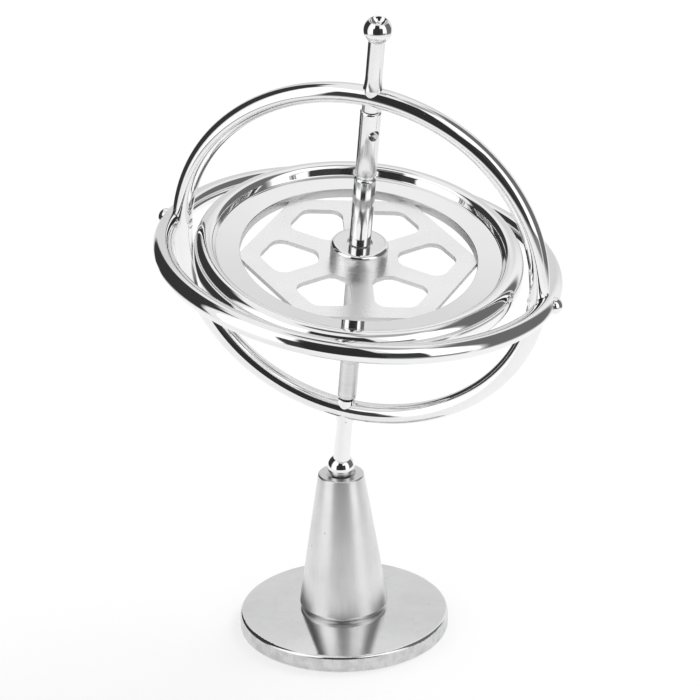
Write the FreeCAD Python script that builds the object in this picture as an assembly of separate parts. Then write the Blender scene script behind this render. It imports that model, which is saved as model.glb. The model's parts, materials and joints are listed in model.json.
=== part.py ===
"""Demonstration gyroscope leaning on its stand, one STEP file per piece.

World frame: millimetres, +Z up, origin at the centre of the stand's underside, the plane it rests on.
Gyroscope frame: origin at the centre of the upright rings, Z along the spin axis, X through the two rivets.
The gyroscope is drawn in its own frame and then leaned about the centre of its foot ball.
"""

import FreeCAD, Part

import math
import os

V = FreeCAD.Vector
X_AXIS = V(1, 0, 0)
Y_AXIS = V(0, 1, 0)
Z_AXIS = V(0, 0, 1)
ORIGIN = V(0, 0, 0)

# ---------------------------------------------------------------- driving dimensions, mm and degrees

# Stand
base_radius = 17.0
base_thickness = 2.9
base_edge_chamfer = 0.28
base_edge_radius = 0.6
base_crown = 0.9
post_height = 23.7
post_radius = 7.2
post_top_radius = 3.75
post_foot_inset = 0.5
post_foot_height = 0.85
post_seat_margin = 0.1
post_top_edge = 0.35
seat_mouth_radius = 2.4
seat_cone_half_angle = 59.0
screw_shank_radius = 1.5
screw_length = 10.0
screw_head_radius = 2.9
screw_head_height = 1.7
screw_head_edge = 0.2
screw_head_recess = 0.3
screw_slot_width = 0.8
screw_slot_depth = 0.9

# Gyroscope as a whole
lower_stem_reach = 9.87
upper_stem_reach = 10.0
lean_angle = 11.8
lean_heading = -65.5
frame_yaw = -17.7

# Rings
rod_radius = 1.6
hoop_radius = 29.0
equator_step = 1.4
equator_drop = 0.7
equator_tilt = -7.2
lap_half_length = 3.6

# Rivets
rivet_shank_radius = 0.7
rivet_head_radius = 1.33
rivet_head_height = 1.6
rivet_crown_height = 0.85
rivet_tail_radius = 1.0
rivet_tail_height = 0.5

# Stems, balls and bearings
ball_radius = 2.2
top_ball_radius = 2.2
top_lip_radius = 1.55
top_lip_rise = 0.07
top_cup_radius = 1.28
top_cup_depth = 0.85
stem_radius = 1.32
stem_foot_radius = 1.41
stem_waist_radius = 1.25
stem_flare_radius = 1.5
stem_flare_length = 2.4
stem_top_depth = 1.4
tenon_radius = 1.1
stub_radius = 1.42
stub_length = 0.55
bearing_radius = 0.75
bearing_length = 1.8
bearing_mouth_edge = 0.12
pivot_radius = 0.4
pivot_length = 1.0
pivot_tip_length = 0.3

# Axle and sleeves
axle_radius = 1.475
axle_head_radius = 1.65
axle_head_length = 11.6
axle_edge = 0.35
axle_shoulder_edge = 0.1
string_hole_radius = 0.9
string_hole_from_tip = 3.8
string_hole_angle = -44.0
sleeve_radius = 1.725
sleeve_edge = 0.2
sleeve_gap = 0.3

# Rotor
hub_radius = 4.5
hub_top = 2.72
hub_bottom = -2.7
hub_edge = 0.7
hub_recess_radius = 2.0
hub_recess_depth = 0.35
web_top = -0.15
web_thickness = 0.75
web_hub_radius = 6.2
web_corner_overlap = 0.44
web_band_width = 2.9
web_spoke_width = 3.4
web_window_corner = 2.0
web_window_count = 6
web_window_phase = 21.0
rim_inner_radius = 18.5
rim_inner_top = 0.75
rim_inner_bottom = -0.95
rim_inner_edge = 0.15
rim_corner_radius = 0.3
bead_radius = 1.45
bead_flat = 2.7

# Fits
rotor_clearance = 1.65
seat_clearance = 0.05
ball_socket_clearance = 0.05
pivot_clearance = 0.05
pivot_end_clearance = 0.12
axle_end_gap = 0.15
ring_fit = 0.04
screw_fit = 0.04
screw_end_clearance = 1.0

# ---------------------------------------------------------------- values that follow from them

post_foot_z = base_thickness + base_crown
post_foot_radius = post_radius - post_foot_inset
post_top_z = post_foot_z + post_height
seat_half = math.radians(seat_cone_half_angle)
# The ball touches the seat's cone along a circle; its centre lies this far above the cone's tip.
ball_over_tip = (ball_radius + seat_clearance) / math.sin(seat_half)
seat_depth = seat_mouth_radius / math.tan(seat_half)
ball_z = post_top_z - seat_depth + ball_over_tip
hoop_inner = hoop_radius - rod_radius
hoop_outer = hoop_radius + rod_radius
equator_radius = hoop_radius + equator_step
foot_to_centre = hoop_outer + lower_stem_reach
centre_to_top_ball = hoop_outer + upper_stem_reach
# The rings are halved into each other: this plane lies midway between the two overlapping rods.
halving_x = (hoop_outer + equator_radius - rod_radius) / 2
lap_x = (hoop_inner + halving_x) / 2
lap_top = lap_half_length - equator_drop
lap_bottom = -lap_half_length - equator_drop
stub_end = hoop_inner - stub_length
axle_end = stub_end - axle_end_gap
head_start = axle_end - axle_head_length
web_bottom = web_top - web_thickness
sleeve_top = head_start - sleeve_gap
# The corners of the web's hexagonal band run into the rim by the overlap.
web_band_apothem = (rim_inner_radius + web_corner_overlap) * math.cos(math.radians(30))
bead_half_flat = bead_flat / 2
rim_outer_radius = hoop_inner - rotor_clearance
bead_centre_radius = rim_outer_radius - bead_radius
bead_inner_radius = bead_centre_radius - bead_radius


def gyroscope_placement():
    """Frame of the leaning gyroscope: yaw about the spin axis, lift above the ball, lean, stand on it."""
    heading = math.radians(lean_heading)
    lean_axis = V(-math.sin(heading), math.cos(heading), 0)
    yaw = FreeCAD.Placement(V(0, 0, foot_to_centre), FreeCAD.Rotation(Z_AXIS, frame_yaw))
    lean = FreeCAD.Placement(V(0, 0, ball_z), FreeCAD.Rotation(lean_axis, lean_angle))
    return lean.multiply(yaw)


def mirrored(points):
    """The same outline upside down, for the pieces below the rotor."""
    return [(point[0], -point[1]) + point[2:] for point in reversed(points)]


def revolve(points):
    """Solid of revolution about Z from an outline of (radius, height) points.

    A triple (radius, height, "via") is the middle point of an arc between its two neighbours.
    """
    edges = []
    index = 0
    corners = list(points) + [points[0]]
    while index < len(corners) - 1:
        start = V(corners[index][0], 0, corners[index][1])
        if len(corners[index + 1]) == 3:
            via = V(corners[index + 1][0], 0, corners[index + 1][1])
            end = V(corners[index + 2][0], 0, corners[index + 2][1])
            edges.append(Part.Arc(start, via, end).toShape())
            index += 2
        else:
            end = V(corners[index + 1][0], 0, corners[index + 1][1])
            edges.append(Part.makeLine(start, end))
            index += 1
    return Part.Face(Part.Wire(edges)).revolve(ORIGIN, Z_AXIS, 360)


def box(x0, x1, y0, y1, z0, z1):
    """Box between two corners."""
    return Part.makeBox(x1 - x0, y1 - y0, z1 - z0, V(x0, y0, z0))


def rod_ring(radius):
    """Full ring of round rod about Z."""
    return Part.makeTorus(radius, rod_radius, ORIGIN, Z_AXIS)


def upright_ring():
    """Full ring of round rod standing in the XZ plane."""
    return Part.makeTorus(hoop_radius, rod_radius, ORIGIN, Y_AXIS)


def tilt_with_equator(shape):
    """Turns a shape about the rivets, as the equator ring is turned."""
    shape.rotate(ORIGIN, X_AXIS, equator_tilt)
    shape.translate(V(0, 0, -equator_drop))
    return shape


# ---------------------------------------------------------------- stand

def make_base_disc():
    """Disc with a gently crowned top round the post's flat seat, and a countersunk screw hole below."""
    seat = post_foot_radius + post_seat_margin
    crown_foot = base_radius - base_edge_radius
    middle = (seat + crown_foot) / 2
    # Height of the crown's centre below the disc's shoulder, from its two ends.
    drop = (crown_foot ** 2 - seat ** 2 - base_crown ** 2) / (2 * base_crown)
    middle_rise = math.sqrt(crown_foot ** 2 + drop ** 2 - middle ** 2) - drop
    round_over = base_edge_radius * (1 - math.cos(math.pi / 4))
    disc = revolve([
        (0, 0),
        (base_radius - base_edge_chamfer, 0),
        (base_radius, base_edge_chamfer),
        (base_radius, base_thickness - base_edge_radius),
        (base_radius - round_over, base_thickness - round_over, "via"),
        (crown_foot, base_thickness),
        (middle, base_thickness + middle_rise, "via"),
        (seat, post_foot_z),
        (0, post_foot_z),
    ])
    shank_hole = Part.makeCylinder(screw_shank_radius + screw_fit, post_foot_z)
    return disc.cut(shank_hole).cut(screw_head(screw_fit, 0))


def screw_head(fit, bottom):
    """Countersunk head, widest at the recess below, with the recess open down to the given height."""
    wide = screw_head_radius + fit
    narrow = screw_shank_radius + fit
    top = screw_head_recess + screw_head_height
    edge = screw_head_recess + screw_head_edge
    return revolve([(0, bottom), (wide, bottom), (wide, edge + fit), (narrow, top + fit), (0, top + fit)])


def make_post():
    """Tapered post: foot drawn in to a narrower base, rounded top edge, drilled conical seat for the ball."""
    round_over = post_top_edge * (1 - math.cos(math.pi / 4))
    body = revolve([
        (0, post_foot_z),
        (post_foot_radius, post_foot_z),
        (post_radius - 0.25 * post_foot_inset, post_foot_z + 0.55 * post_foot_height, "via"),
        (post_radius, post_foot_z + post_foot_height),
        (post_top_radius, post_top_z - post_top_edge),
        (post_top_radius - round_over, post_top_z - round_over, "via"),
        (post_top_radius - post_top_edge, post_top_z),
        (0, post_top_z),
    ])
    seat = Part.makeCone(0, seat_mouth_radius, seat_depth, V(0, 0, post_top_z - seat_depth))
    thread_top = screw_head_recess + screw_length + screw_end_clearance
    thread_depth = thread_top - post_foot_z
    thread_hole = Part.makeCylinder(screw_shank_radius + screw_fit, thread_depth, V(0, 0, post_foot_z))
    return body.cut(seat).cut(thread_hole)


def make_base_screw():
    """Countersunk slotted screw that holds the post on the disc from below."""
    shank_end = screw_head_recess + screw_length
    shank = Part.makeCylinder(screw_shank_radius, shank_end - screw_head_recess, V(0, 0, screw_head_recess))
    screw = shank.fuse(screw_head(0, screw_head_recess)).removeSplitter()
    half_slot = screw_slot_width / 2
    slot_top = screw_head_recess + screw_slot_depth
    slot = box(-screw_head_radius, screw_head_radius, -half_slot, half_slot, 0, slot_top)
    return screw.cut(slot)


# ---------------------------------------------------------------- rings

def equator_halving(side):
    """What the equator ring takes out of the hoop on one side: everything beyond the halving plane."""
    half = rod_radius + ring_fit
    reach = 2 * rod_radius
    cutter = box(halving_x, hoop_outer + reach, -reach, reach, -half, half)
    if side < 0:
        cutter.rotate(ORIGIN, Z_AXIS, 180)
    return tilt_with_equator(cutter)


def hoop_halving(side):
    """What the hoop takes out of the equator ring on one side: everything within the halving plane."""
    half = rod_radius + ring_fit
    reach = 2 * rod_radius
    cutter = box(hoop_inner - reach, halving_x, -half, half, -reach - equator_drop, reach - equator_drop)
    if side < 0:
        cutter.rotate(ORIGIN, Z_AXIS, 180)
    return cutter


def rivet_hole(side):
    """Bore for one rivet through both rings, with flat seats for its head and its tail."""
    shank_start = hoop_inner - rod_radius
    shank = Part.makeCylinder(rivet_shank_radius, 6 * rod_radius, V(shank_start, 0, 0), X_AXIS)
    head_seat = Part.makeCylinder(rivet_head_radius, 2 * rod_radius, V(rivet_head_x(), 0, 0), X_AXIS)
    tail_seat = Part.makeCylinder(rivet_tail_radius, 2 * rod_radius, V(rivet_tail_x(), 0, 0), V(-1, 0, 0))
    hole = shank.fuse(head_seat).fuse(tail_seat)
    if side < 0:
        hole.rotate(ORIGIN, Z_AXIS, 180)
    hole.translate(V(0, 0, -equator_drop))
    return hole


def rivet_head_x():
    """Plane under the rivet's head, deep enough for a full round seat on the equator ring's rod."""
    return equator_radius + math.sqrt(rod_radius ** 2 - rivet_head_radius ** 2)


def rivet_tail_x():
    """Plane under the rivet's tail, deep enough for a full round seat on the hoop's rod."""
    return hoop_radius - math.sqrt(rod_radius ** 2 - rivet_tail_radius ** 2)


def lap_cutter(side, inner_half):
    """Half of the rod within the lap: the inner half belongs to the upper hoop, the outer to the lower."""
    reach = 2 * rod_radius
    far = hoop_outer + reach
    near = hoop_inner - reach
    cutter = box(near, lap_x, -reach, reach, lap_bottom, lap_top)
    if not inner_half:
        cutter = box(lap_x, far, -reach, reach, lap_bottom, lap_top)
    if side < 0:
        cutter.rotate(ORIGIN, Z_AXIS, 180)
    return cutter


def make_hoop(upper):
    """Half of the upright ring, its ends halved into tongues that lap under the equator ring."""
    far = hoop_outer + 2 * rod_radius
    if upper:
        keep = box(-far, far, -far, far, lap_bottom, far)
    else:
        keep = box(-far, far, -far, far, -far, lap_top)
    hoop = upright_ring().common(keep)
    for side in (1, -1):
        hoop = hoop.cut(lap_cutter(side, not upper))
        hoop = hoop.cut(equator_halving(side))
        hoop = hoop.cut(rivet_hole(side))
    tenon_z = hoop_inner - rod_radius if upper else -hoop_outer - rod_radius
    tenon_hole = Part.makeCylinder(tenon_radius, 4 * rod_radius, V(0, 0, tenon_z))
    return hoop.cut(tenon_hole)


def make_equator_ring():
    """Outer ring, notched on its inside where it sits over the hoops."""
    ring = tilt_with_equator(rod_ring(equator_radius))
    for side in (1, -1):
        ring = ring.cut(hoop_halving(side)).cut(rivet_hole(side))
    return ring


def dome_middle(radius, height):
    """Middle of a spherical cap's outline: its distance from the axis and its height over the cap's foot."""
    sphere = (radius ** 2 + height ** 2) / (2 * height)
    half = math.asin(radius / sphere) / 2
    return sphere * math.sin(half), height - sphere * (1 - math.cos(half))


def make_rivet(side):
    """Round-head rivet through both rings, its tail closed to a low dome."""
    head_x = rivet_head_x()
    tail_x = rivet_tail_x()
    crown_x = head_x + rivet_head_height - rivet_crown_height
    head_r, head_rise = dome_middle(rivet_head_radius, rivet_crown_height)
    tail_r, tail_rise = dome_middle(rivet_tail_radius, rivet_tail_height)
    rivet = revolve([
        (0, tail_x - rivet_tail_height),
        (tail_r, tail_x - tail_rise, "via"),
        (rivet_tail_radius, tail_x),
        (rivet_shank_radius, tail_x),
        (rivet_shank_radius, head_x),
        (rivet_head_radius, head_x),
        (rivet_head_radius, crown_x),
        (head_r, crown_x + head_rise, "via"),
        (0, head_x + rivet_head_height),
    ])
    rivet.rotate(ORIGIN, Y_AXIS, 90)
    if side < 0:
        rivet.rotate(ORIGIN, Z_AXIS, 180)
    rivet.translate(V(0, 0, -equator_drop))
    return rivet


# ---------------------------------------------------------------- stems, balls and bearings

def flared_stem(tip_z, tip_radius, waist_radius):
    """Stem standing outside the top of the hoop: waist, flare to the rod, tenon and inner stub, all coped."""
    flare_z = hoop_outer + stem_flare_length
    flare_middle_radius = waist_radius + 0.3 * (stem_flare_radius - waist_radius)
    outside = revolve([
        (0, hoop_radius),
        (stem_flare_radius, hoop_radius),
        (stem_flare_radius, hoop_outer),
        (flare_middle_radius, hoop_outer + 0.4 * stem_flare_length, "via"),
        (waist_radius, flare_z),
        (tip_radius, tip_z),
        (0, tip_z),
    ])
    stub = Part.makeCylinder(stub_radius, hoop_radius - stub_end, V(0, 0, stub_end))
    tenon = Part.makeCylinder(tenon_radius, hoop_outer - stub_end, V(0, 0, stub_end))
    coped = outside.fuse(stub).cut(upright_ring())
    stem = coped.fuse(tenon).removeSplitter()
    bearing_hole = Part.makeCylinder(bearing_radius, bearing_length, V(0, 0, stub_end))
    return stem.cut(bearing_hole)


def make_lower_stem():
    """Stem between the lower hoop and the foot ball, cupped over the ball."""
    stem = flared_stem(foot_to_centre, stem_foot_radius, stem_waist_radius)
    stem = stem.cut(Part.makeSphere(ball_radius + ball_socket_clearance, V(0, 0, foot_to_centre)))
    stem.rotate(ORIGIN, X_AXIS, 180)
    return stem


def top_stem_end():
    """Height of the upper stem's end inside the top ball."""
    return centre_to_top_ball - top_ball_radius + stem_top_depth


def make_upper_stem():
    """Stem between the upper hoop and the top ball."""
    return flared_stem(top_stem_end(), stem_radius, stem_radius)


def make_foot_ball():
    """Ball that the gyroscope stands on."""
    return Part.makeSphere(ball_radius, V(0, 0, -foot_to_centre))


def make_top_ball():
    """Ball with a cup in its top and a soft lip round the cup, bored for the upper stem."""
    lip_rise = math.sqrt(top_ball_radius ** 2 - top_lip_radius ** 2)
    lip_crest = (top_lip_radius + top_cup_radius) / 2
    cup_middle, cup_middle_rise = dome_middle(top_cup_radius, top_cup_depth)
    outline = [
        (0, -top_ball_radius),
        (top_ball_radius, 0, "via"),
        (top_lip_radius, lip_rise),
        (lip_crest, lip_rise + top_lip_rise, "via"),
        (top_cup_radius, lip_rise),
        (cup_middle, lip_rise - cup_middle_rise, "via"),
        (0, lip_rise - top_cup_depth),
    ]
    ball = revolve(outline)
    ball.translate(V(0, 0, centre_to_top_ball))
    bore_start = centre_to_top_ball - 2 * top_ball_radius
    bore = Part.makeCylinder(stem_radius, top_stem_end() - bore_start, V(0, 0, bore_start))
    return ball.cut(bore)


def make_bearing(upper):
    """Blind bearing cup pressed into a stem, with a running fit round the axle's pivot."""
    bore_radius = pivot_radius + pivot_clearance
    mouth = bore_radius + bearing_mouth_edge
    bore_end = axle_end + pivot_length + pivot_end_clearance
    outline = [
        (mouth, stub_end),
        (bearing_radius, stub_end),
        (bearing_radius, stub_end + bearing_length),
        (0, stub_end + bearing_length),
        (0, bore_end),
        (bore_radius, bore_end - pivot_tip_length),
        (bore_radius, stub_end + bearing_mouth_edge),
    ]
    return revolve(outline if upper else mirrored(outline))


# ---------------------------------------------------------------- rotor

def make_axle():
    """Turned axle: pointed pivots, a thicker head with the string hole, and a straight shank below it."""
    neck = pivot_radius
    axle = revolve([
        (0, -axle_end - pivot_length),
        (neck, -axle_end - pivot_length + pivot_tip_length),
        (neck, -axle_end),
        (axle_radius - axle_edge, -axle_end),
        (axle_radius, -axle_end + axle_edge),
        (axle_radius, head_start),
        (axle_head_radius - axle_shoulder_edge, head_start),
        (axle_head_radius, head_start + axle_edge),
        (axle_head_radius, axle_end - axle_edge),
        (axle_head_radius - 0.3 * axle_edge, axle_end - 0.3 * axle_edge, "via"),
        (axle_head_radius - axle_edge, axle_end),
        (neck, axle_end),
        (neck, axle_end + pivot_length - pivot_tip_length),
        (0, axle_end + pivot_length),
    ])
    turn = math.radians(string_hole_angle)
    along = V(math.cos(turn), math.sin(turn), 0)
    start = V(0, 0, axle_end - string_hole_from_tip) - along * (2 * axle_head_radius)
    return axle.cut(Part.makeCylinder(string_hole_radius, 4 * axle_head_radius, start, along))


def make_sleeve(upper):
    """Spacer sleeve on the axle between the hub collar and the axle's head, or its twin below."""
    bottom = hub_top - hub_recess_depth if upper else -hub_bottom - hub_recess_depth
    outline = [
        (axle_radius, bottom),
        (sleeve_radius, bottom),
        (sleeve_radius, sleeve_top - 2 * sleeve_edge),
        (sleeve_radius - 0.3 * sleeve_edge, sleeve_top - 0.7 * sleeve_edge, "via"),
        (sleeve_radius - sleeve_edge, sleeve_top),
        (axle_radius, sleeve_top),
    ]
    return revolve(outline if upper else mirrored(outline))


def make_hub_collar(upper):
    """Collar pressed on the axle against the web, with a rounded edge and a recess round the sleeve."""
    top = hub_top if upper else -hub_bottom
    foot = web_top if upper else -web_bottom
    outline = [
        (axle_radius, foot),
        (hub_radius, foot),
        (hub_radius, top - hub_edge),
        (hub_radius - 0.29 * hub_edge, top - 0.29 * hub_edge, "via"),
        (hub_radius - hub_edge, top),
        (hub_recess_radius, top),
        (hub_recess_radius, top - hub_recess_depth),
        (axle_radius, top - hub_recess_depth),
    ]
    return revolve(outline if upper else mirrored(outline))


def hexagon(apothem, thickness, z):
    """Hexagonal prism whose flats lie at the given distance from the axis, corners at 0, 60, 120 degrees."""
    corner = apothem / math.cos(math.pi / 6)
    angles = [math.radians(60 * index) for index in range(7)]
    points = [V(corner * math.cos(angle), corner * math.sin(angle), z) for angle in angles]
    return Part.Face(Part.makePolygon(points)).extrude(V(0, 0, thickness))


def web_window():
    """One window between two spokes: pointed towards a corner of the hexagonal band, corners rounded."""
    inner = web_band_apothem - web_band_width
    window = hexagon(inner, web_thickness, web_bottom)
    window = window.cut(Part.makeCylinder(web_hub_radius, web_thickness, V(0, 0, web_bottom)))
    reach = 2 * web_band_apothem
    half = web_spoke_width / 2
    for side in (1, -1):
        # Everything beyond the centre line of the spoke at 30 degrees on this side, and half the spoke.
        blade = box(-reach, reach, -half, reach, web_bottom, web_bottom + web_thickness)
        blade.rotate(ORIGIN, Z_AXIS, 30)
        if side < 0:
            blade = blade.mirror(ORIGIN, Y_AXIS)
        window = window.cut(blade)
    upright = [e for e in window.Edges if abs(e.Vertexes[0].Z - e.Vertexes[-1].Z) > web_thickness / 2]
    return window.makeFillet(web_window_corner, upright)


def make_rotor_web():
    """Stamped web: a hexagonal band whose corners touch the rim, six spokes and a hub disc."""
    web = hexagon(web_band_apothem, web_thickness, web_bottom)
    web = web.common(Part.makeCylinder(rim_inner_radius, web_thickness, V(0, 0, web_bottom)))
    window = web_window()
    for index in range(web_window_count):
        cutter = window.copy()
        cutter.rotate(ORIGIN, Z_AXIS, index * 360 / web_window_count)
        web = web.cut(cutter)
    web = web.cut(Part.makeCylinder(axle_radius, web_thickness, V(0, 0, web_bottom)))
    web.rotate(ORIGIN, Z_AXIS, web_window_phase)
    return web


def make_rotor_rim():
    """Heavy rim: a flat annulus inside a taller band whose two edges are fully rounded."""
    bead_top = bead_half_flat + bead_radius
    diagonal = bead_radius * math.cos(math.pi / 4)
    corner = rim_corner_radius * (1 - math.cos(math.pi / 4))
    return revolve([
        (rim_inner_radius, rim_inner_bottom + rim_inner_edge),
        (rim_inner_radius + rim_inner_edge, rim_inner_bottom),
        (bead_inner_radius, rim_inner_bottom),
        (bead_inner_radius, -bead_half_flat),
        (bead_centre_radius - diagonal, -bead_half_flat - diagonal, "via"),
        (bead_centre_radius, -bead_top),
        (bead_centre_radius + diagonal, -bead_half_flat - diagonal, "via"),
        (rim_outer_radius, -bead_half_flat),
        (rim_outer_radius, bead_half_flat),
        (bead_centre_radius + diagonal, bead_half_flat + diagonal, "via"),
        (bead_centre_radius, bead_top),
        (bead_centre_radius - diagonal, bead_half_flat + diagonal, "via"),
        (bead_inner_radius, bead_half_flat),
        (bead_inner_radius, rim_inner_top + rim_corner_radius),
        (bead_inner_radius - corner, rim_inner_top + corner, "via"),
        (bead_inner_radius - rim_corner_radius, rim_inner_top),
        (rim_inner_radius + rim_inner_edge, rim_inner_top),
        (rim_inner_radius, rim_inner_top - rim_inner_edge),
    ])


# ---------------------------------------------------------------- assembly

stand_pieces = {
    "base_disc": make_base_disc(),
    "post": make_post(),
    "base_screw": make_base_screw(),
}

gyroscope_pieces = {
    "foot_ball": make_foot_ball(),
    "lower_stem": make_lower_stem(),
    "lower_hoop": make_hoop(upper=False),
    "upper_hoop": make_hoop(upper=True),
    "equator_ring": make_equator_ring(),
    "rivet_right": make_rivet(1),
    "rivet_left": make_rivet(-1),
    "upper_stem": make_upper_stem(),
    "top_ball": make_top_ball(),
    "lower_bearing": make_bearing(upper=False),
    "upper_bearing": make_bearing(upper=True),
    "axle": make_axle(),
    "lower_sleeve": make_sleeve(upper=False),
    "upper_sleeve": make_sleeve(upper=True),
    "hub_lower_collar": make_hub_collar(upper=False),
    "hub_upper_collar": make_hub_collar(upper=True),
    "rotor_web": make_rotor_web(),
    "rotor_rim": make_rotor_rim(),
}

os.makedirs("parts", exist_ok=True)
placement = gyroscope_placement()
for name, shape in stand_pieces.items():
    shape.exportStep("parts/" + name + ".step")
for name, shape in gyroscope_pieces.items():
    shape.Placement = placement.multiply(shape.Placement)
    shape.exportStep("parts/" + name + ".step")

for name, shape in list(stand_pieces.items()) + list(gyroscope_pieces.items()):
    report = (name, len(shape.Solids), shape.Volume, shape.isValid())
    print("%-18s solids %d  volume %9.2f mm3  valid %s" % report)
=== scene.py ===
"""Dressed model of a demonstration gyroscope leaning on its stand."""

import json
import logging
import math
from dataclasses import dataclass, replace
from enum import Enum
from typing import Any, Iterable, Optional, Union

import bpy
from mathutils import Matrix, Vector


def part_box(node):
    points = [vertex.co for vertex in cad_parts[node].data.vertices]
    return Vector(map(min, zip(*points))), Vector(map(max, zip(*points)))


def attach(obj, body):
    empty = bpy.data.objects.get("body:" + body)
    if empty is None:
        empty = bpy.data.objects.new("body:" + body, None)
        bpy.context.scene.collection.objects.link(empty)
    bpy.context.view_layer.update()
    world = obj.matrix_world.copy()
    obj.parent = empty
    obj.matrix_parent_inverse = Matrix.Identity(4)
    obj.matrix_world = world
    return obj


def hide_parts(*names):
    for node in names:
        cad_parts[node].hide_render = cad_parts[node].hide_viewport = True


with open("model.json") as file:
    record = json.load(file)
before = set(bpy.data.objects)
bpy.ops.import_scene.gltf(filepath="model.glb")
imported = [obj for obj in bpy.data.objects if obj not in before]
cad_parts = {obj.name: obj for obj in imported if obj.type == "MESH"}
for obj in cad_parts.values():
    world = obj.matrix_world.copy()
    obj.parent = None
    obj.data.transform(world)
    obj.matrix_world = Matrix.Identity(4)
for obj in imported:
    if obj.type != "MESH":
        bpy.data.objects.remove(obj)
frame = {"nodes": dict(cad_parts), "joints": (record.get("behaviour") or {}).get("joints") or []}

MM = 0.001
LOG = logging.getLogger("gyroscope")

Value = Union[int, float, "Signal"]
Triple = tuple[float, float, float]
Colour = Triple
Settings = Optional[dict[str, Any]]
Inputs = Optional[dict[Union[str, int], Any]]

EVEN = (1.0, 1.0, 1.0)
WHITE = (1.0, 1.0, 1.0)

# Sockets of a Mix node that carry colours; its names repeat for every kind of value.
MIX_FACTOR, MIX_FIRST, MIX_SECOND, MIX_RESULT = 0, 6, 7, 2


# ---------------------------------------------------------------- shader language

class Sum(Enum):
    """What a Math node works out."""

    ADD = "ADD"
    SUBTRACT = "SUBTRACT"
    MULTIPLY = "MULTIPLY"
    ABSOLUTE = "ABSOLUTE"
    SQUARE_ROOT = "SQRT"
    LARGER = "MAXIMUM"
    ARCTANGENT = "ARCTAN2"
    ARCSINE = "ARCSINE"


@dataclass(frozen=True)
class Grain:
    """Size and shape of the blotches in a noise texture."""

    pitch_mm: float
    detail: float = 3.0
    squeeze: Triple = EVEN


@dataclass(frozen=True)
class Fade:
    """Rise of a texture's effect from none at low to its full share at high."""

    low: float
    high: float
    share: float = 1.0

    def of(self, texture: "Signal") -> "Signal":
        """The effect that a texture has through this fade."""
        return texture.step(self.low, self.high) * self.share


class Graph:
    """The node tree of one material or of the world."""

    def __init__(self, tree: bpy.types.NodeTree) -> None:
        """Empties the tree and keeps it."""
        self.tree = tree
        tree.nodes.clear()

    def node(self, kind: str, settings: Settings = None, inputs: Inputs = None) -> bpy.types.Node:
        """Adds a node, sets its settings first, then fills its sockets.

        Args:
            kind: the node's type name.
            settings: attributes of the node.
            inputs: socket name or index to a plain value, a Signal or an output socket.

        Returns:
            The new node.
        """
        made = self.tree.nodes.new(kind)
        for name, value in (settings or {}).items():
            setattr(made, name, value)
        for name, value in (inputs or {}).items():
            self.feed(made.inputs[name], value)
        return made

    def feed(self, socket: bpy.types.NodeSocket, value: Any) -> None:
        """Links or sets one socket.

        Args:
            socket: the input to fill.
            value: a Signal or an output socket to link, or a plain value to set.
        """
        if isinstance(value, Signal):
            self.tree.links.new(value.socket, socket)
        elif isinstance(value, bpy.types.NodeSocket):
            self.tree.links.new(value, socket)
        elif socket.type == "RGBA" and len(value) == 3:
            socket.default_value = (*value, 1.0)
        else:
            socket.default_value = value

    def signal(self, kind: str, output: Union[str, int] = 0, settings: Settings = None,
               inputs: Inputs = None) -> "Signal":
        """Adds a node and wraps the output of that name or index."""
        return Signal(self, self.node(kind, settings, inputs).outputs[output])

    def mix(self, factor: Value, first: Any, second: Any) -> "Signal":
        """Mixes two colours.

        Args:
            factor: 0 keeps the first colour, 1 gives the second.
            first: a colour or a Signal.
            second: a colour or a Signal.

        Returns:
            The mixed colour.
        """
        settings = {"data_type": "RGBA", "clamp_factor": True}
        inputs = {MIX_FACTOR: factor, MIX_FIRST: first, MIX_SECOND: second}
        return self.signal("ShaderNodeMix", MIX_RESULT, settings, inputs)

    def bump(self, height: "Signal", depth_mm: float) -> "Signal":
        """Normal that a height between 0 and 1 gives at a depth in millimetres."""
        inputs = {"Strength": 1.0, "Distance": depth_mm * MM, "Height": height}
        return self.signal("ShaderNodeBump", "Normal", None, inputs)

    def split(self, vector: "Signal") -> tuple["Signal", ...]:
        """The three parts of a vector."""
        parts = self.node("ShaderNodeSeparateXYZ", None, {"Vector": vector})
        return tuple(Signal(self, output) for output in parts.outputs)

    def place(self, matrix: Optional[Matrix] = None) -> "Signal":
        """Object coordinates in millimetres.

        Args:
            matrix: from the wanted frame to the world at rest; without it they are the world's.

        Returns:
            The coordinates as a vector.
        """
        inverse = Matrix() if matrix is None else matrix.inverted()
        inputs = {
            "Vector": self.signal("ShaderNodeTexCoord", "Object"),
            "Location": tuple(inverse.to_translation() / MM),
            "Rotation": tuple(inverse.to_euler()),
            "Scale": (1 / MM, 1 / MM, 1 / MM),
        }
        return self.signal("ShaderNodeMapping", 0, None, inputs)

    def noise(self, where: "Signal", grain: Grain) -> "Signal":
        """Noise from 0 to 1.

        Args:
            where: coordinates in millimetres.
            grain: size and shape of the blotches.

        Returns:
            The noise value.
        """
        inputs = {"Vector": where, "Scale": grain.squeeze}
        scaled = self.signal("ShaderNodeMapping", 0, None, inputs)
        inputs = {"Vector": scaled, "Scale": 1.0 / grain.pitch_mm, "Detail": grain.detail}
        return self.signal("ShaderNodeTexNoise", "Fac", None, inputs)

    def pits(self, where: "Signal", pitch_mm: float, radius: float) -> "Signal":
        """Small round spots with a soft edge as wide as half their radius.

        Args:
            where: coordinates in millimetres.
            pitch_mm: distance between spots.
            radius: radius of a spot as a share of that distance.

        Returns:
            The mask, 1 inside the spots and 0 between them.
        """
        inputs = {"Vector": where, "Scale": 1.0 / pitch_mm}
        distance = self.signal("ShaderNodeTexVoronoi", "Distance", None, inputs)
        return 1.0 - distance.step(radius / 2, radius)


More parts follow.
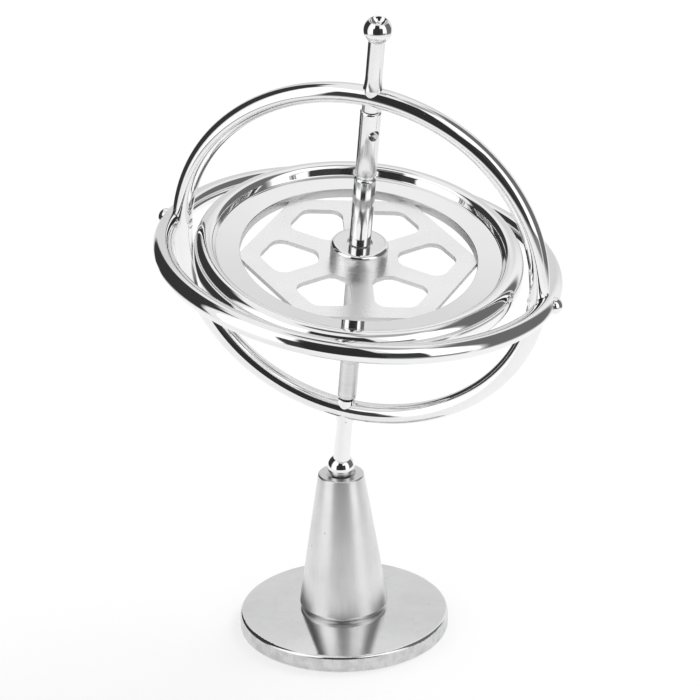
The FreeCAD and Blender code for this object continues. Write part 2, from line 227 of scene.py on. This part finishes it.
class Signal:
    """One output socket whose operators add Math nodes."""

    def __init__(self, graph: Graph, socket: bpy.types.NodeSocket) -> None:
        """Keeps the graph and the socket."""
        self.graph = graph
        self.socket = socket

    def _math(self, what: Sum, *values: Value) -> "Signal":
        """Adds one Math node and returns its result."""
        settings = {"operation": what.value}
        return self.graph.signal("ShaderNodeMath", 0, settings, dict(enumerate(values)))

    def __add__(self, other: Value) -> "Signal":
        """self + other."""
        return self._math(Sum.ADD, self, other)

    def __radd__(self, other: Value) -> "Signal":
        """other + self."""
        return self._math(Sum.ADD, other, self)

    def __sub__(self, other: Value) -> "Signal":
        """self - other."""
        return self._math(Sum.SUBTRACT, self, other)

    def __rsub__(self, other: Value) -> "Signal":
        """other - self."""
        return self._math(Sum.SUBTRACT, other, self)

    def __mul__(self, other: Value) -> "Signal":
        """self * other."""
        return self._math(Sum.MULTIPLY, self, other)

    def __rmul__(self, other: Value) -> "Signal":
        """other * self."""
        return self._math(Sum.MULTIPLY, other, self)

    def __neg__(self) -> "Signal":
        """The negative of self."""
        return self._math(Sum.MULTIPLY, self, -1.0)

    def __abs__(self) -> "Signal":
        """The size of self without its sign."""
        return self._math(Sum.ABSOLUTE, self)

    def root(self) -> "Signal":
        """Square root of self."""
        return self._math(Sum.SQUARE_ROOT, self)

    def highest(self, other: Value) -> "Signal":
        """The larger of self and other."""
        return self._math(Sum.LARGER, self, other)

    def arctangent(self, other: Value) -> "Signal":
        """Angle whose tangent is self over other, in radians."""
        return self._math(Sum.ARCTANGENT, self, other)

    def arcsine(self) -> "Signal":
        """Angle whose sine is self, in radians."""
        return self._math(Sum.ARCSINE, self)

    def step(self, low: float, high: float) -> "Signal":
        """Smooth rise.

        Args:
            low: where it leaves 0.
            high: where it reaches 1.

        Returns:
            The eased value.
        """
        settings = {"interpolation_type": "SMOOTHSTEP"}
        inputs = {"Value": self, "From Min": low, "From Max": high}
        return self.graph.signal("ShaderNodeMapRange", 0, settings, inputs)

    def band(self, low: float, high: float, soft: float) -> "Signal":
        """Mask that is 1 between low and high and fades to 0 over a soft edge at each end."""
        return self.step(low - soft, low + soft) * (1.0 - self.step(high - soft, high + soft))


# ---------------------------------------------------------------- where things are

@dataclass(frozen=True)
class Pose:
    """Place and turn of the gyroscope's own axes, read from the frame."""

    centre: Vector
    across: Vector
    axis: Vector

    @classmethod
    def from_frame(cls) -> "Pose":
        """Reads the spin joint and the two rivets.

        Returns:
            The pose in which the frame holds the gyroscope.
        """
        spin = next(joint for joint in frame["joints"] if joint["name"] == "spin")
        axis = Vector(spin["axis"]).normalized()
        right = sum(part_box("rivet_right"), Vector()) / 2
        left = sum(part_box("rivet_left"), Vector()) / 2
        across = right - left
        across = (across - axis * across.dot(axis)).normalized()
        return cls(Vector(spin["pos_m"]), across, axis)

    def matrix(self) -> Matrix:
        """Works out where the gyroscope's own frame is.

        Returns:
            The matrix from that frame to the world.
        """
        side = self.axis.cross(self.across)
        turn = Matrix((self.across, side, self.axis)).transposed().to_4x4()
        return Matrix.Translation(self.centre) @ turn


# ---------------------------------------------------------------- finishes

class Finish:
    """Base of every finish: makes its material once and puts it on pieces."""

    title: str = "finish"

    def shade(self, graph: Graph) -> bpy.types.NodeSocket:
        """Builds the shader and returns its output; each finish has its own."""
        raise NotImplementedError

    def material(self) -> bpy.types.Material:
        """Makes the material, unless it is there already.

        Returns:
            The finish's one material.
        """
        found = bpy.data.materials.get(self.title)
        if found is not None:
            return found
        made = bpy.data.materials.new(self.title)
        made.use_nodes = True
        graph = Graph(made.node_tree)
        graph.node("ShaderNodeOutputMaterial", None, {"Surface": self.shade(graph)})
        return made

    def dress(self, piece: bpy.types.Object) -> None:
        """Gives a piece this finish alone."""
        piece.data.materials.clear()
        piece.data.materials.append(self.material())

    @staticmethod
    def metal(graph: Graph, colour: Signal, gloss: Value, normal: Signal) -> bpy.types.NodeSocket:
        """Bare metal with this colour, roughness and normal."""
        inputs = {"Base Color": colour, "Roughness": gloss, "Normal": normal, "Metallic": 1.0}
        return graph.node("ShaderNodeBsdfPrincipled", None, inputs).outputs[0]


@dataclass(frozen=True)
class Chrome(Finish):
    """Bright plate over polished rod: mirror gloss, faint waviness, hairlines and a few specks."""

    title: str = "chrome"
    tint: Colour = (0.88, 0.88, 0.885)
    roughness: float = 0.03
    wave: Grain = Grain(5.0, 1.0)
    wave_depth_mm: float = 0.012
    hairlines: Grain = Grain(0.25, 2.0, (0.12, 1.0, 1.0))
    hairline_gloss: Fade = Fade(0.5, 0.8, 0.02)
    cloud_waves: float = 1.4
    cloud_detail: float = 4.0
    cloud_gloss: Fade = Fade(0.45, 0.75, 0.05)
    cloud_cover: Fade = Fade(0.35, 0.8, 0.5)
    cloud_dimming: float = 0.90
    speck_mm: float = 2.6
    speck_radius: float = 0.045
    speck_gloss: float = 0.25
    speck_cover: float = 0.5
    speck_tint: Colour = (0.42, 0.42, 0.43)
    dull_tint: Colour = (0.68, 0.68, 0.685)
    dull_roughness: float = 0.42

    def dulling(self, graph: Graph) -> Optional[Signal]:
        """Share of dull metal, or None where the plate is bright all over."""
        return None

    def shade(self, graph: Graph) -> bpy.types.NodeSocket:
        """Mirror plate with waviness from the polishing wheel.

        Args:
            graph: the material's graph.

        Returns:
            The shader's output.
        """
        where = graph.place()
        wave = graph.noise(where, self.wave)
        hairs = graph.noise(where, self.hairlines)
        cloud = graph.noise(where, Grain(self.cloud_waves * self.wave.pitch_mm, self.cloud_detail))
        speck = graph.pits(where, self.speck_mm, self.speck_radius)
        gloss = self.roughness + self.cloud_gloss.of(cloud) + self.hairline_gloss.of(hairs)
        gloss = gloss + speck * self.speck_gloss
        dimmed = tuple(self.cloud_dimming * part for part in self.tint)
        colour = graph.mix(self.cloud_cover.of(cloud), self.tint, dimmed)
        colour = graph.mix(speck * self.speck_cover, colour, self.speck_tint)
        dull = self.dulling(graph)
        if dull is not None:
            colour = graph.mix(dull, colour, self.dull_tint)
            gloss = gloss + dull * self.dull_roughness
        return self.metal(graph, colour, gloss, graph.bump(wave, self.wave_depth_mm))


@dataclass(frozen=True)
class BoredChrome(Chrome):
    """Bright plate that didn't reach into the bore, which stays as it was turned."""

    matrix: Matrix = Matrix()
    bore_mm: float = 0.0
    reach_mm: float = 0.12

    def dulling(self, graph: Graph) -> Signal:
        """The bore, by its distance from the spin axis.

        Args:
            graph: the material's graph.

        Returns:
            The mask of the bore.
        """
        x, y, _ = graph.split(graph.place(self.matrix))
        radius = (x * x + y * y).root()
        return 1.0 - radius.step(self.bore_mm, self.bore_mm + self.reach_mm)


@dataclass(frozen=True)
class TurnedChrome(Chrome):
    """Plated turning whose flank is rougher and takes its own tint, with soft rings along the spin
    axis that are partly turned grooves and partly painted spin-blurred reflection bands; its faces are
    bright.
    """

    matrix: Matrix = Matrix()
    face: Fade = Fade(0.35, 0.6)
    # painted reflection: these rings are partly turned grooves and partly spin-blurred reflection
    # bands painted into the flank
    rings: Grain = Grain(0.7, 2.0)
    ring: Fade = Fade(0.35, 0.65, 0.28)
    below_mm: Optional[float] = None
    below_fade_mm: float = 2.0

    def dulling(self, graph: Graph) -> Signal:
        """The flank, by how little its normal follows the spin axis, in rings along that axis that are
        partly painted reflection bands.

        Args:
            graph: the material's graph.

        Returns:
            The mask of the flank, only below a height if one is given.
        """
        normal = graph.signal("ShaderNodeTexCoord", "Normal")
        inputs = {0: normal, 1: tuple(self.matrix.to_3x3().col[2])}
        settings = {"operation": "DOT_PRODUCT"}
        along = abs(graph.signal("ShaderNodeVectorMath", "Value", settings, inputs))
        _, _, height = graph.split(graph.place(self.matrix))
        level = graph.signal("ShaderNodeCombineXYZ", 0, None, {2: height})
        # painted reflection: rings along the spin axis, partly spin-blurred reflection bands painted
        # into the flank's tint and gloss
        rings = self.ring.of(graph.noise(level, self.rings))
        flank = (1.0 - self.face.of(along)) * (1.0 - self.ring.share + rings)
        if self.below_mm is None:
            return flank
        return flank * (1.0 - height.step(self.below_mm, self.below_mm + self.below_fade_mm))


@dataclass(frozen=True)
class SatinPlate(Finish):
    """Plated and lightly brushed casting: soft gloss, drawn streaks, cloudy patches and pits."""

    title: str = "satin_plate"
    tint: Colour = (0.86, 0.86, 0.865)
    roughness: float = 0.2
    streaks: Grain = Grain(0.5, 3.0, (1.0, 1.0, 0.05))
    streak_depth_mm: float = 0.003
    streak_cover: Fade = Fade(0.4, 0.8, 0.2)
    streak_gloss: Fade = Fade(0.3, 0.8, 0.03)
    clouds: Grain = Grain(6.0, 4.0)
    cloud_cover: Fade = Fade(0.3, 0.75, 0.5)
    cloud_gloss: Fade = Fade(0.35, 0.7, 0.04)
    cloud_dimming: float = 0.86
    pit_mm: float = 2.2
    pit_radius: float = 0.07
    pit_patches: Grain = Grain(9.0)
    pit_patch: Fade = Fade(0.45, 0.6)
    pit_cover: float = 0.75
    pit_tint: Colour = (0.22, 0.22, 0.22)
    pit_gloss: float = 0.3
    pit_depth: float = 1.5

    def shade(self, graph: Graph) -> bpy.types.NodeSocket:
        """Satin metal whose streaks run the way it was brushed.

        Args:
            graph: the material's graph.

        Returns:
            The shader's output.
        """
        where = graph.place()
        streaks = graph.noise(where, self.streaks)
        cloud = graph.noise(where, self.clouds)
        pit = graph.pits(where, self.pit_mm, self.pit_radius)
        pit = pit * self.pit_patch.of(graph.noise(where, self.pit_patches))
        dimmed = tuple(self.cloud_dimming * part for part in self.tint)
        cover = self.cloud_cover.of(cloud) + self.streak_cover.of(streaks)
        colour = graph.mix(cover, self.tint, dimmed)
        colour = graph.mix(pit * self.pit_cover, colour, self.pit_tint)
        gloss = self.roughness + self.cloud_gloss.of(cloud) + self.streak_gloss.of(streaks)
        gloss = gloss + pit * self.pit_gloss
        # painted shade on the upright edge, where the finish has one
        colour, gloss = self.paint_edge_shade(graph, where, colour, gloss)
        relief = graph.bump(streaks - pit * self.pit_depth, self.streak_depth_mm)
        return self.metal(graph, colour, gloss, relief)

    def paint_edge_shade(self, graph: Graph, where: Signal, colour: Signal,
                gloss: Signal) -> tuple[Signal, Signal]:
        """Leaves the colour and the gloss as they are, where no edge gets painted shade."""
        return colour, gloss


@dataclass(frozen=True)
class EdgedPlate(SatinPlate):
    """Satin plate whose upright edge gets painted shade, greyer than its faces, over a mottled,
    rougher finish.
    """

    # painted shade: how much greyer the upright edge is drawn than the faces
    edge_shade_tint: float = 0.68
    edge_roughness: float = 0.12
    face: Fade = Fade(0.2, 0.6)
    blotches: Grain = Grain(1.6, 4.0)
    mottle: Fade = Fade(0.35, 0.65)
    mottle_cover: float = 0.4
    mottle_gloss: float = 0.12

    def paint_edge_shade(self, graph: Graph, where: Signal, colour: Signal,
                gloss: Signal) -> tuple[Signal, Signal]:
        """Paints shade onto the upright edge as grey, and roughens it, by how little its normal points
        up.

        Args:
            graph: the material's graph.
            where: coordinates in millimetres.
            colour: colour of the plate.
            gloss: roughness of the plate.

        Returns:
            The colour with the edge's painted shade, and the roughness with the edge.
        """
        normal = graph.signal("ShaderNodeTexCoord", "Normal")
        edge = 1.0 - self.face.of(abs(graph.split(normal)[2]))
        mottle = self.mottle.of(graph.noise(where, self.blotches))
        # painted shade: the upright edge is drawn greyer than the faces; the mottle is the real
        # rougher finish
        grey = tuple(self.edge_shade_tint * part for part in self.tint)
        cover = edge * (1.0 - self.mottle_cover + self.mottle_cover * mottle)
        roughening = edge * (self.edge_roughness + self.mottle_gloss * mottle)
        return graph.mix(cover, colour, grey), gloss + roughening


@dataclass(frozen=True)
class Brass(Finish):
    """Turned bearing brass with a faint oily tarnish."""

    title: str = "bearing_brass"
    tint: Colour = (0.78, 0.58, 0.26)
    roughness: float = 0.2
    patches: Grain = Grain(0.8, 4.0)
    tarnish: Fade = Fade(0.4, 0.7)
    tarnish_tint: Colour = (0.45, 0.30, 0.12)
    tarnish_cover: float = 0.6
    tarnish_gloss: float = 0.25
    tarnish_depth_mm: float = 0.004

    def shade(self, graph: Graph) -> bpy.types.NodeSocket:
        """Warm metal that is duller in its tarnished patches.

        Args:
            graph: the material's graph.

        Returns:
            The shader's output.
        """
        tarnish = self.tarnish.of(graph.noise(graph.place(), self.patches))
        colour = graph.mix(tarnish * self.tarnish_cover, self.tint, self.tarnish_tint)
        gloss = self.roughness + self.tarnish_gloss * tarnish
        return self.metal(graph, colour, gloss, graph.bump(tarnish, self.tarnish_depth_mm))


@dataclass(frozen=True)
class PaleFloor(Finish):
    """White table that fades into the backdrop but keeps the object's soft shadow."""

    title: str = "pale_floor"
    tint: Colour = (0.93, 0.93, 0.93)
    roughness: float = 0.9
    backdrop_share: float = 0.63
    table_mm: float = 120.0
    table_edge_mm: float = 25.0

    def shade(self, graph: Graph) -> bpy.types.NodeSocket:
        """Mixes the lit floor with plain white, and ends the table in mirrors at its edge.

        Args:
            graph: the material's graph.

        Returns:
            The shader's output.
        """
        inputs = {"Base Color": self.tint, "Roughness": self.roughness, "Specular IOR Level": 0.0}
        lit = graph.node("ShaderNodeBsdfPrincipled", None, inputs)
        rays = graph.node("ShaderNodeLightPath")
        glossy = Signal(graph, rays.outputs["Is Glossy Ray"])
        seen = Signal(graph, rays.outputs["Is Camera Ray"]).highest(glossy)
        white = graph.node("ShaderNodeEmission", None, {"Color": WHITE, "Strength": 1.0})
        inputs = {0: seen * self.backdrop_share, 1: lit.outputs[0], 2: white.outputs[0]}
        pale = graph.node("ShaderNodeMixShader", None, inputs)
        settings = {"operation": "LENGTH"}
        reach = graph.signal("ShaderNodeVectorMath", "Value", settings, {0: graph.place()})
        beyond = reach.step(self.table_mm, self.table_mm + self.table_edge_mm) * glossy
        clear = graph.node("ShaderNodeBsdfTransparent")
        inputs = {0: beyond, 1: pale.outputs[0], 2: clear.outputs[0]}
        return graph.node("ShaderNodeMixShader", None, inputs).outputs[0]


# ---------------------------------------------------------------- turned meshes

class Facing(float, Enum):
    """Which way a turned surface faces, in degrees from straight up round to the outside."""

    AXIS = -90.0
    UP = 0.0
    OUT = 90.0
    DOWN = 180.0
    AXIS_FROM_BELOW = 270.0


class Outline:
    """Closed section of a turned piece: up its bore, out over the top and back underneath."""

    def __init__(self, radius: float, height: float) -> None:
        """Starts the walk at a distance from the axis and a height, in millimetres."""
        self.points: list[tuple[float, float]] = [(radius, height)]

    def line(self, radius: float, height: float) -> "Outline":
        """Goes straight to a point and returns the outline."""
        self.points.append((radius, height))
        return self

    def arc(self, bend: float, start: float, end: float, step_deg: float = 12.0) -> "Outline":
        """Goes round an arc of at least two steps.

        Args:
            bend: radius of the arc, the same for a round edge and a hollow fillet.
            start: direction that the surface faces at the start, as in Facing.
            end: direction that it faces at the end; smaller than start in a hollow fillet.
            step_deg: largest turn between two points.

        Returns:
            The outline.
        """
        signed = bend if end > start else -bend
        radius, height = self.points[-1]
        first = math.radians(start)
        middle_radius = radius - signed * math.sin(first)
        middle_height = height - signed * math.cos(first)
        count = max(2, math.ceil(abs(end - start) / step_deg))
        for index in range(1, count + 1):
            turn = math.radians(start + (end - start) * index / count)
            self.line(middle_radius + signed * math.sin(turn), middle_height + signed * math.cos(turn))
        return self

    def mirror(self, start: int, level: float) -> "Outline":
        """Repeats the walk backwards, upside down.

        Args:
            start: index of the first point that is repeated.
            level: height of the plane of the mirror.

        Returns:
            The outline.
        """
        for radius, height in reversed(self.points[start:]):
            self.line(radius, 2.0 * level - height)
        return self

    def revolve(self, name: str, matrix: Matrix, segments: int) -> bpy.types.Object:
        """Turns the outline about its axis.

        Args:
            name: name of the piece.
            matrix: from the piece's own frame, in metres, to the world.
            segments: number of steps round the axis.

        Returns:
            The smooth mesh object, linked to the scene.
        """
        count = len(self.points)
        verts, faces = [], []
        for step in range(segments):
            turn = 2.0 * math.pi * step / segments
            for radius, height in self.points:
                local = Vector((radius * math.cos(turn), radius * math.sin(turn), height)) * MM
                verts.append(matrix @ local)
            here, there = step * count, (step + 1) % segments * count
            for index in range(count):
                after = (index + 1) % count
                faces.append((here + index, here + after, there + after, there + index))
        mesh = bpy.data.meshes.new(name)
        mesh.from_pydata(verts, [], faces)
        mesh.shade_smooth()
        piece = bpy.data.objects.new(name, mesh)
        bpy.context.scene.collection.objects.link(piece)
        return piece


# ---------------------------------------------------------------- sub-assemblies

@dataclass
class Assembly:
    """A group of nodes that are dressed together."""

    pose: Pose

    def build(self) -> None:
        """Makes and dresses the group; each sub-assembly has its own."""
        raise NotImplementedError

    def dress_nodes(self, finish: Finish, *names: str) -> None:
        """Gives CAD nodes a finish and reports each.

        Args:
            finish: the finish.
            names: the nodes.
        """
        for name in names:
            finish.dress(frame["nodes"][name])
            LOG.info("dressed %s with %s", name, finish.title)


@dataclass
class Stand(Assembly):
    """Weighted disc, tapered post and the screw below."""

    # painted shade greys the disc's upright edge
    disc_plate: EdgedPlate = EdgedPlate(title="disc_plate", roughness=0.07, streaks=Grain(0.9))
    post_plate: SatinPlate = SatinPlate(title="post_plate", tint=(0.79, 0.79, 0.795),
                                        roughness=0.3, streaks=Grain(0.5, 3.0, (1.0, 1.0, 0.06)))
    screw_plate: SatinPlate = SatinPlate(title="zinc_screw", tint=(0.5, 0.5, 0.51),
                                         roughness=0.3)

    def build(self) -> None:
        """Dresses the three pieces."""
        self.dress_nodes(self.disc_plate, "base_disc")
        self.dress_nodes(self.post_plate, "post")
        self.dress_nodes(self.screw_plate, "base_screw")


@dataclass
class Cage(Assembly):
    """The three rings, their rivets, the two stems and the balls."""

    ring_plate: Chrome = Chrome(title="ring_chrome")
    stem_plate: Chrome = Chrome(title="stem_chrome", wave=Grain(3.0, 1.0), wave_depth_mm=0.006)
    ball_plate: Chrome = Chrome(title="ball_chrome", wave=Grain(2.0, 1.0), wave_depth_mm=0.004)
    rivet_plate: Chrome = Chrome(title="rivet_chrome", wave=Grain(0.7, 1.0), wave_depth_mm=0.05,
                                 roughness=0.06)
    bearing_brass: Brass = Brass()

    def build(self) -> None:
        """Dresses the rings and what they carry."""
        self.dress_nodes(self.ring_plate, "upper_hoop", "lower_hoop", "equator_ring")
        self.dress_nodes(self.stem_plate, "upper_stem", "lower_stem")
        self.dress_nodes(self.ball_plate, "foot_ball", "top_ball")
        self.dress_nodes(self.rivet_plate, "rivet_left", "rivet_right")
        self.dress_nodes(self.bearing_brass, "upper_bearing", "lower_bearing")


@dataclass
class Rotor(Assembly):
    """Rim, web, hub collars, sleeves and axle; the rim is turned anew with sloping shoulders.

    The rim's sizes are in millimetres and degrees, with heights from the place of the spin joint.
    """

    bore: float = 18.5
    bore_edge: float = 0.15
    annulus_inner_top: float = 0.65
    annulus_outer_top: float = 0.80
    annulus_bottom: float = -0.95
    wall_lean: float = 70.0
    wall_fillet: float = 0.3
    crest: float = 2.33
    foot: float = -2.73
    outer: float = 25.75
    inner_bend: float = 1.1
    shoulder_bend: float = 2.05
    shoulder_end: float = 75.0
    flank_bend: float = 3.5
    band_step_deg: float = 5.0
    segments: int = 900
    rim_plate: BoredChrome = BoredChrome(
        title="rim_chrome", tint=(0.9, 0.9, 0.905), wave=Grain(12.0, 1.0), wave_depth_mm=0.006)
    web_plate: TurnedChrome = TurnedChrome(
        title="web_chrome", tint=(0.97, 0.97, 0.97), roughness=0.27, dull_tint=(0.85, 0.85, 0.85))
    # painted light: the hub's flank tint is lighter than its faces, to brighten the flank's dark
    # reflection
    hub_plate: TurnedChrome = TurnedChrome(
        title="hub_chrome", tint=(0.84, 0.84, 0.845), wave=Grain(3.0, 1.0), wave_depth_mm=0.006,
        dull_tint=(0.88, 0.88, 0.885))
    axle_plate: TurnedChrome = TurnedChrome(
        title="axle_chrome", roughness=0.1, wave=Grain(3.0, 1.0), wave_depth_mm=0.006,
        dull_tint=(0.8, 0.8, 0.8), below_mm=-4.0)
    sleeve_plate: Chrome = Chrome(
        title="shaft_chrome", roughness=0.07, wave=Grain(3.0, 1.0), wave_depth_mm=0.006)
    spacer_plate: Chrome = Chrome(
        title="spacer_chrome", tint=(0.93, 0.93, 0.935), roughness=0.68, wave=Grain(3.0, 1.0),
        wave_depth_mm=0.006)

    def build(self) -> None:
        """Turns the rim and dresses the turning pieces."""
        matrix = self.pose.matrix()
        self.turn_rim(matrix)
        self.dress_nodes(replace(self.web_plate, matrix=matrix), "rotor_web")
        hub_plate = replace(self.hub_plate, matrix=matrix)
        self.dress_nodes(hub_plate, "hub_upper_collar", "hub_lower_collar")
        self.dress_nodes(replace(self.axle_plate, matrix=matrix), "axle")
        self.dress_nodes(self.sleeve_plate, "upper_sleeve")
        self.dress_nodes(self.spacer_plate, "lower_sleeve")

    def turn_rim(self, matrix: Matrix) -> None:
        """Turns the rim, dresses it and puts it in its node's place.

        Args:
            matrix: from the gyroscope's own frame to the world.
        """
        rim = self.rim_outline().revolve("rim_section", matrix, self.segments)
        replace(self.rim_plate, matrix=matrix, bore_mm=self.bore).dress(rim)
        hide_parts("rotor_rim")
        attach(rim, "rotor")
        LOG.info("turned %s", rim.name)

    def wall_radii(self) -> tuple[float, float]:
        """Works out where the band's leaning inner wall begins and ends.

        Returns:
            The radius where the annulus meets the wall's fillet, and the wall's top radius.
        """
        lean = math.radians(self.wall_lean)
        sloped = math.sin(math.radians(self.shoulder_end))
        crest_radius = self.outer - self.shoulder_bend * sloped - self.flank_bend * (1.0 - sloped)
        top = crest_radius - self.inner_bend * math.sin(lean)
        climb = self.crest - self.annulus_outer_top
        climb -= (self.inner_bend + self.wall_fillet) * (1.0 - math.cos(lean))
        return top - climb / math.tan(lean) - self.wall_fillet * math.sin(lean), top

    def rim_outline(self) -> Outline:
        """Section of the rim: a shallow dished annulus inside a band with round shoulders.

        Returns:
            The closed outline.
        """
        wall_foot, wall_top = self.wall_radii()
        wall_rise = self.inner_bend * (1.0 - math.cos(math.radians(self.wall_lean)))
        section = Outline(self.bore, self.annulus_bottom + self.bore_edge)
        section.line(self.bore, self.annulus_inner_top - self.bore_edge)
        section.arc(self.bore_edge, Facing.AXIS, Facing.UP)
        section.line(wall_foot, self.annulus_outer_top)
        section.arc(self.wall_fillet, Facing.UP, -self.wall_lean)
        band_start = len(section.points)
        section.line(wall_top, self.crest - wall_rise)
        section.arc(self.inner_bend, -self.wall_lean, Facing.UP, self.band_step_deg)
        section.arc(self.shoulder_bend, Facing.UP, self.shoulder_end, self.band_step_deg)
        section.arc(self.flank_bend, self.shoulder_end, Facing.OUT, self.band_step_deg)
        section.mirror(band_start, (self.crest + self.foot) / 2)
        section.line(wall_top, self.annulus_bottom - self.wall_fillet)
        section.arc(self.wall_fillet, Facing.AXIS_FROM_BELOW, Facing.DOWN)
        section.line(self.bore + self.bore_edge, self.annulus_bottom)
        section.arc(self.bore_edge, Facing.DOWN, Facing.AXIS_FROM_BELOW)
        section.points.pop()  # the walk ends on its first point
        return section


# ---------------------------------------------------------------- studio

@dataclass(frozen=True)
class Card:
    """A patch of the surroundings, in degrees; azimuth counts from the front to the right."""

    west: float
    east: float
    low: float
    high: float
    level: float
    soft: float = 1.5

    def over(self, azimuth: Signal, elevation: Signal, behind: Value) -> Signal:
        """Lays the card over what is behind it.

        Args:
            azimuth: direction round the object, in degrees.
            elevation: height over the horizon, in degrees.
            behind: brightness behind the card.

        Returns:
            The brightness with the card in place.
        """
        mask = azimuth.band(self.west, self.east, self.soft)
        mask = mask * elevation.band(self.low, self.high, self.soft)
        return behind + mask * (self.level - behind)


@dataclass
class Studio:
    """White table, bright tent with its dark gaps, one soft key light and the camera."""

    tent: float = 0.95
    ambient: float = 0.92
    rear_right: Card = Card(150.0, 185.0, -12.0, 42.0, 0.74, 9.0)
    rear_left: Card = Card(-185.0, -150.0, -12.0, 42.0, 0.74, 9.0)
    roof_hole: Card = Card(-180.0, 180.0, 82.0, 100.0, 0.10, 2.5)
    roof_seam: Card = Card(15.0, 100.0, 63.0, 79.0, 0.42, 3.0)
    table_front: Card = Card(-64.0, 64.0, -26.0, -2.0, 0.25, 3.0)
    left_gap: Card = Card(-152.0, -88.0, -26.0, 62.0, 0.04, 3.0)
    right_gap: Card = Card(72.0, 130.0, -26.0, 60.0, 0.16, 5.0)
    left_panel: Card = Card(-78.0, -30.0, -20.0, 60.0, 1.3)
    right_panel: Card = Card(26.0, 70.0, -14.0, 60.0, 1.3)
    low_opening: Card = Card(-40.0, 40.0, -20.0, 26.0, 0.05)
    tall_opening: Card = Card(-28.0, 16.0, -22.0, 58.0, 0.03)
    floor_reach_mm: float = 4000.0
    floor_drop_mm: float = 0.02
    key_place_m: Triple = (0.5, 0.3, 0.8)
    key_size_m: float = 0.5
    key_energy: float = 3.0
    eye_mm: Triple = (0.0, -551.842, 295.496)
    gaze: Triple = (0.0030261, 0.9131307, -0.4076557)
    roll_deg: float = -1.145
    lens_mm: float = 195.31
    nearest_m: float = 0.01

    def build(self) -> None:
        """Sets up the whole studio."""
        self.floor()
        self.world()
        self.key_light()
        self.camera()

    def cards(self) -> tuple[Card, ...]:
        """The cards of the tent, each laid over the ones before it."""
        return (self.rear_right, self.rear_left, self.roof_hole, self.roof_seam, self.table_front,
                self.left_gap, self.right_gap, self.left_panel, self.right_panel,
                self.low_opening, self.tall_opening)

    def floor(self) -> None:
        """Lays the white table under the stand."""
        reach = self.floor_reach_mm * MM
        corners = [(x * reach, y * reach, 0.0) for x, y in ((-1, -1), (1, -1), (1, 1), (-1, 1))]
        mesh = bpy.data.meshes.new("floor")
        mesh.from_pydata(corners, [], [(0, 1, 2, 3)])
        table = bpy.data.objects.new("floor", mesh)
        table.location.z = -self.floor_drop_mm * MM
        bpy.context.scene.collection.objects.link(table)
        PaleFloor().dress(table)

    def world(self) -> None:
        """Bright tent for mirrors, even light for the table, plain white for the camera."""
        scene = bpy.context.scene
        if scene.world is None:
            scene.world = bpy.data.worlds.new("tent")
        scene.world.use_nodes = True
        graph = Graph(scene.world.node_tree)
        x, y, z = graph.split(graph.signal("ShaderNodeTexCoord", "Generated"))
        azimuth = x.arctangent(-y) * math.degrees(1.0)
        elevation = z.arcsine() * math.degrees(1.0)
        level: Value = self.tent
        for card in self.cards():
            level = card.over(azimuth, elevation, level)
        rays = graph.node("ShaderNodeLightPath")
        camera = Signal(graph, rays.outputs["Is Camera Ray"])
        glossy = Signal(graph, rays.outputs["Is Glossy Ray"])
        strength = glossy * level + (1.0 - glossy) * self.ambient
        strength = camera + (1.0 - camera) * strength
        light = graph.node("ShaderNodeBackground", None, {"Color": WHITE, "Strength": strength})
        graph.node("ShaderNodeOutputWorld", None, {"Surface": light.outputs[0]})

    def key_light(self) -> None:
        """Large soft lamp, high on the right and a little behind; its shadow falls to the left."""
        lamp = bpy.data.lights.new("key", "AREA")
        lamp.shape = "DISK"
        lamp.size = self.key_size_m
        lamp.energy = self.key_energy
        holder = bpy.data.objects.new("key", lamp)
        holder.location = self.key_place_m
        holder.rotation_euler = (-Vector(self.key_place_m)).to_track_quat("-Z", "Y").to_euler()
        holder.visible_glossy = False
        bpy.context.scene.collection.objects.link(holder)

    def camera(self) -> None:
        """Places the camera by its eye, gaze and roll."""
        gaze = Vector(self.gaze).normalized()
        level = gaze.cross(Vector((0.0, 0.0, 1.0))).normalized()
        upright = level.cross(gaze)
        roll = math.radians(self.roll_deg)
        right = level * math.cos(roll) + upright * math.sin(roll)
        top = upright * math.cos(roll) - level * math.sin(roll)
        turn = Matrix((right, top, -gaze)).transposed().to_4x4()
        lens = bpy.data.cameras.new("camera")
        lens.lens = self.lens_mm
        lens.clip_start = self.nearest_m
        holder = bpy.data.objects.new("camera", lens)
        holder.matrix_world = Matrix.Translation(Vector(self.eye_mm) * MM) @ turn
        bpy.context.scene.collection.objects.link(holder)
        bpy.context.scene.camera = holder


def main() -> None:
    """Builds the stand, the cage, the rotor and the studio in order."""
    logging.basicConfig(level=logging.INFO, format="%(name)s: %(message)s")
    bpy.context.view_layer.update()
    bpy.context.scene.view_settings.view_transform = "Standard"
    pose = Pose.from_frame()
    for group in (Stand(pose), Cage(pose), Rotor(pose), Studio()):
        group.build()
        LOG.info("built %s", type(group).__name__)


if __name__ == "__main__":
    main()
